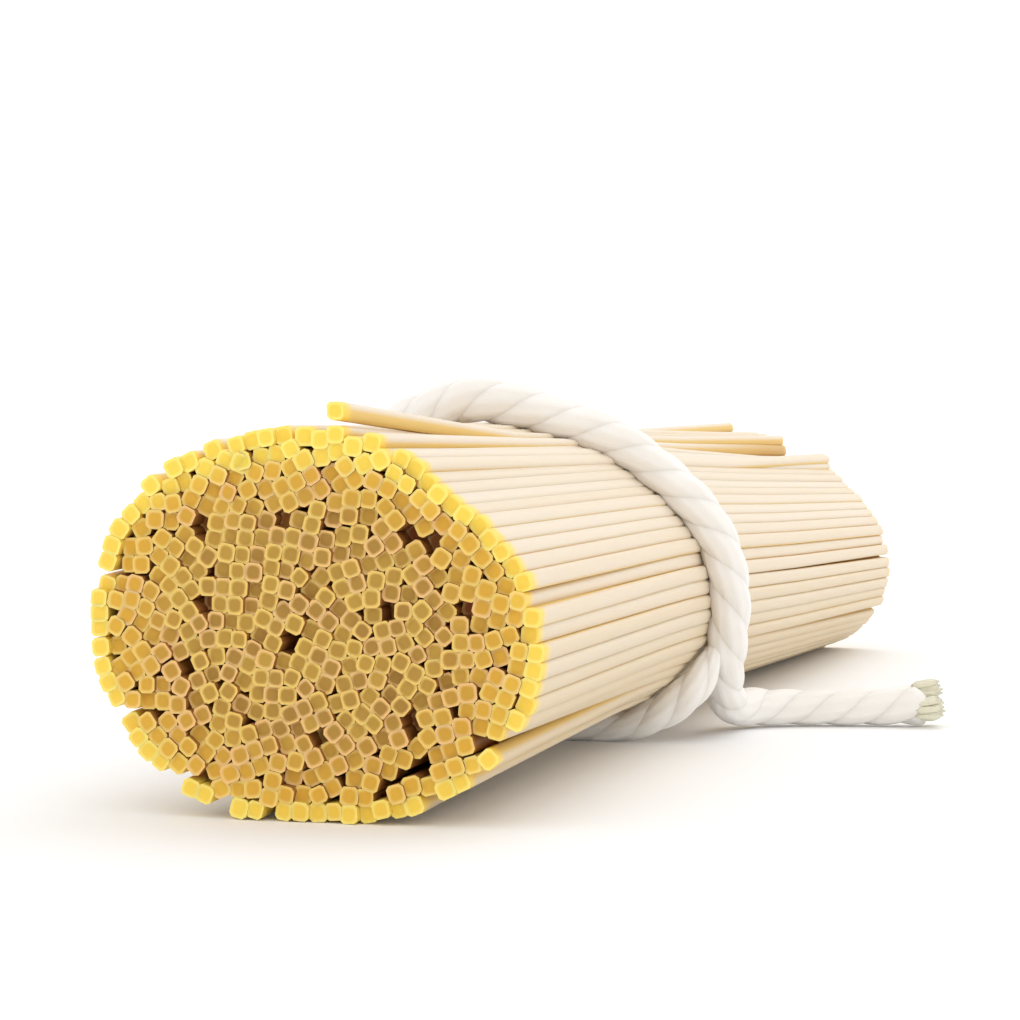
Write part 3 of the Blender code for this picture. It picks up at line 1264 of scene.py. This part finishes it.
    def _lay_plies(self, points: np.ndarray, radii: np.ndarray) -> bpy.types.Object:
        """Lay the plies round the centre line.

        Args:
            points: The centre line.
            radii: The rope's radius at each of its points.

        Returns:
            The rope as one piece.
        """
        _, side, other = self._carry_frame(points)
        along = np.arange(len(points)) * self.step
        from_tail = along[-1] - along
        opening = np.clip(1.0 - from_tail / self.fray_length, 0.0, 1.0)
        opening = opening**2 * (3.0 - 2.0 * opening)
        shape, faces, marks, valleys = [], [], [], []
        for ply in range(self.plies):
            phase = math.tau * (ply / self.plies - along / self.lay_length)
            outward = np.cos(phase)[:, None] * side + np.sin(phase)[:, None] * other
            offset = radii * (self.ply_offset + self.fray_opening * opening)
            centres = points + outward * offset[:, None]
            ply_radius = radii * (1.0 - self.ply_offset) * (1.0 - 0.12 * opening)
            kept = slice(0, len(points) - self.fray_steps)
            mesh = self._tube(
                centres[kept], ply_radius[kept], self.ply_sides, sum(map(len, shape))
            )
            shape.append(mesh[0])
            faces += mesh[1]
            marks.append(mesh[2])
            valleys.append(self._valley(mesh[0], points, radii))
        rope = new_piece("rope_plies", np.vstack(shape), faces, math.radians(80))
        layer = rope.data.uv_layers.new(name="UVMap")
        layer.data.foreach_set("uv", np.vstack(marks).astype(np.float32).ravel())
        give_numbers(rope, "valley_shade", np.concatenate(valleys))
        return rope

    def _valley(
        self, shape: np.ndarray, points: np.ndarray, radii: np.ndarray
    ) -> np.ndarray:
        """Say how deep each point of a ply lies between the plies, 0 to 1, which sets the painted
        shade in the valleys.
        """
        rings = np.clip(np.arange(len(shape)) // self.ply_sides, 0, len(points) - 1)
        reach = np.linalg.norm(shape - points[rings], axis=1) / radii[rings]
        return np.clip((1.0 - reach) / 0.3, 0.0, 1.0)

    def _tube(
        self, centres: np.ndarray, radii: np.ndarray, sides: int, first: int
    ) -> tuple[np.ndarray, list, np.ndarray]:
        """Make a closed tube with rounded ends.

        Args:
            centres: The line that it follows.
            radii: Its radius at each point of the line.
            sides: Points in each ring.
            first: The number of its first point in the whole piece.

        Returns:
            Its points, its faces and the texture place of every face corner.
        """
        ahead, side, other = self._carry_frame(centres)
        count = len(centres)
        span = float(np.linalg.norm(centres[1] - centres[0]))
        from_end = np.minimum(np.arange(count), np.arange(count)[::-1]) * span
        rounding = np.sqrt(np.clip(1.0 - (1.0 - from_end / (radii * 0.5)).clip(0.0) ** 2, 0.04, 1.0))
        turn = np.arange(sides) / sides * math.tau
        ring = (
            np.cos(turn)[None, :, None] * side[:, None]
            + np.sin(turn)[None, :, None] * other[:, None]
        )
        shape = centres[:, None] + ring * (radii * rounding)[:, None, None]
        shape = np.vstack([shape.reshape(-1, 3), centres[:1], centres[-1:]])
        faces, places = [], []
        scale = span / (math.tau * float(radii.max()))
        for number in range(count - 1):
            for corner in range(sides):
                after = (corner + 1) % sides
                low, high = number * sides, (number + 1) * sides
                faces.append((low + corner, low + after, high + after, high + corner))
                left, right = corner / sides, (corner + 1) / sides
                near, far = number * scale, (number + 1) * scale
                places += [(left, near), (right, near), (right, far), (left, far)]
        start, end = count * sides, count * sides + 1
        last = (count - 1) * sides
        for corner in range(sides):
            after = (corner + 1) % sides
            faces.append((start, after, corner))
            faces.append((end, last + corner, last + after))
            places += [(0.5, 0.0)] * 3 + [(0.5, count * scale)] * 3
        faces = [tuple(point + first for point in face) for face in faces]
        return shape, faces, np.array(places)

    def _fray(self, points: np.ndarray, radii: np.ndarray) -> bpy.types.Object:
        """Model the yarns that stand apart at the cut end of the tail.

        Args:
            points: The rope's centre line.
            radii: The rope's radius at each of its points.

        Returns:
            The yarns as one piece.
        """
        rng = np.random.default_rng(31)
        ahead, side, other = self._carry_frame(points)
        shape, faces, marks = [], [], []
        tail = points[-1]
        phase_end = (len(points) - 1) * self.step / self.lay_length
        for ply in range(self.plies):
            phase = math.tau * (ply / self.plies - phase_end)
            outward = math.cos(phase) * side[-1] + math.sin(phase) * other[-1]
            middle = tail + outward * radii[-1] * (self.ply_offset + self.fray_opening)
            for yarn in range(self.yarns_per_ply):
                turn = math.tau * yarn * 0.382 + rng.uniform(-0.3, 0.3)
                spoke = math.cos(turn) * side[-1] + math.sin(turn) * other[-1]
                out = math.sqrt((yarn + 0.5) / self.yarns_per_ply)
                spread = radii[-1] * 0.52 * out
                run = (0.55 - 0.9 * out**2 + 0.45 * rng.random()) * MM
                steps = np.linspace(-3.6 * MM, run, 6)
                splay = np.linspace(0.78, 0.98 + 0.16 * rng.random(), 6)
                line = (
                    middle
                    + ahead[-1] * steps[:, None]
                    + spoke * spread * splay[:, None]
                    + outward * (0.1 * MM) * splay[:, None]
                )
                line[:, 2] = np.maximum(line[:, 2], 0.4 * MM)
                thick = np.linspace(0.5, 0.46, 6) * MM
                mesh = self._tube(line, thick, 8, sum(map(len, shape)))
                shape.append(mesh[0])
                faces += mesh[1]
                marks.append(mesh[2])
        fray = new_piece("rope_frayed_end", np.vstack(shape), faces, math.radians(80))
        layer = fray.data.uv_layers.new(name="UVMap")
        layer.data.foreach_set("uv", np.vstack(marks).astype(np.float32).ravel())
        # Painted shade: the whole frayed end is darkened evenly, as among its yarns.
        give_numbers(fray, "valley_shade", np.full(len(fray.data.vertices), 0.35))
        return fray


# The studio


@dataclass
class Studio:
    """The camera, the pale floor and the soft light. Lengths are in metres."""

    camera_place: tuple = (0.10135, -0.38139, 0.04142)
    camera_yaw: float = math.radians(17.12)
    camera_drop: float = math.radians(1.489)
    lens: float = 88.24
    sensor: float = 36.0
    floor_half: float = 4.0
    sky: float = 1.1
    key_place: tuple = (0.25, 0.30, 0.75)
    key_size: float = 0.7
    key_power: float = 1.2

    def set_camera(self) -> bpy.types.Object:
        """Place the camera."""
        data = bpy.data.cameras.new("camera")
        data.sensor_width = self.sensor
        data.lens = self.lens
        data.clip_start = 0.01
        data.clip_end = 20.0
        camera = bpy.data.objects.new("camera", data)
        bpy.context.scene.collection.objects.link(camera)
        camera.location = self.camera_place
        camera.rotation_euler = (math.pi / 2 - self.camera_drop, 0.0, self.camera_yaw)
        bpy.context.scene.camera = camera
        return camera

    def set_stage(self) -> bpy.types.Object:
        """Lay the floor."""
        deselect_all()
        bpy.ops.mesh.primitive_plane_add(size=2 * self.floor_half)
        floor = bpy.context.object
        floor.name = "floor"
        floor.data.materials.append(FloorFinish().build())
        deselect_all()
        return floor

    def set_lights(self) -> None:
        """Light the scene from all round, with one large soft lamp above and behind."""
        scene = bpy.context.scene
        scene.view_settings.view_transform = "Standard"
        world = bpy.data.worlds.new("soft_sky")
        scene.world = world
        world.use_nodes = True
        sky = world.node_tree.nodes["Background"]
        sky.inputs["Color"].default_value = (1.0, 1.0, 1.0, 1.0)
        sky.inputs["Strength"].default_value = self.sky
        lamp = bpy.data.lights.new("soft_lamp", "AREA")
        lamp.shape = "DISK"
        lamp.size = self.key_size
        lamp.energy = self.key_power
        key = bpy.data.objects.new("soft_lamp", lamp)
        scene.collection.objects.link(key)
        key.location = self.key_place
        aim = Vector((0.0, 0.0, 0.02)) - Vector(self.key_place)
        key.rotation_euler = aim.to_track_quat("-Z", "Y").to_euler()


def main() -> None:
    """Build every piece in order and report each one."""
    logging.basicConfig(level=logging.INFO, format="%(message)s")
    studio = Studio()
    studio.set_camera()
    pieces = TieRope().build()
    pieces += StrandBundle().build()
    for piece in pieces:
        LOG.info("%s: %d faces", piece.name, len(piece.data.polygons))
    studio.set_stage()
    studio.set_lights()


if __name__ == "__main__":
    main()
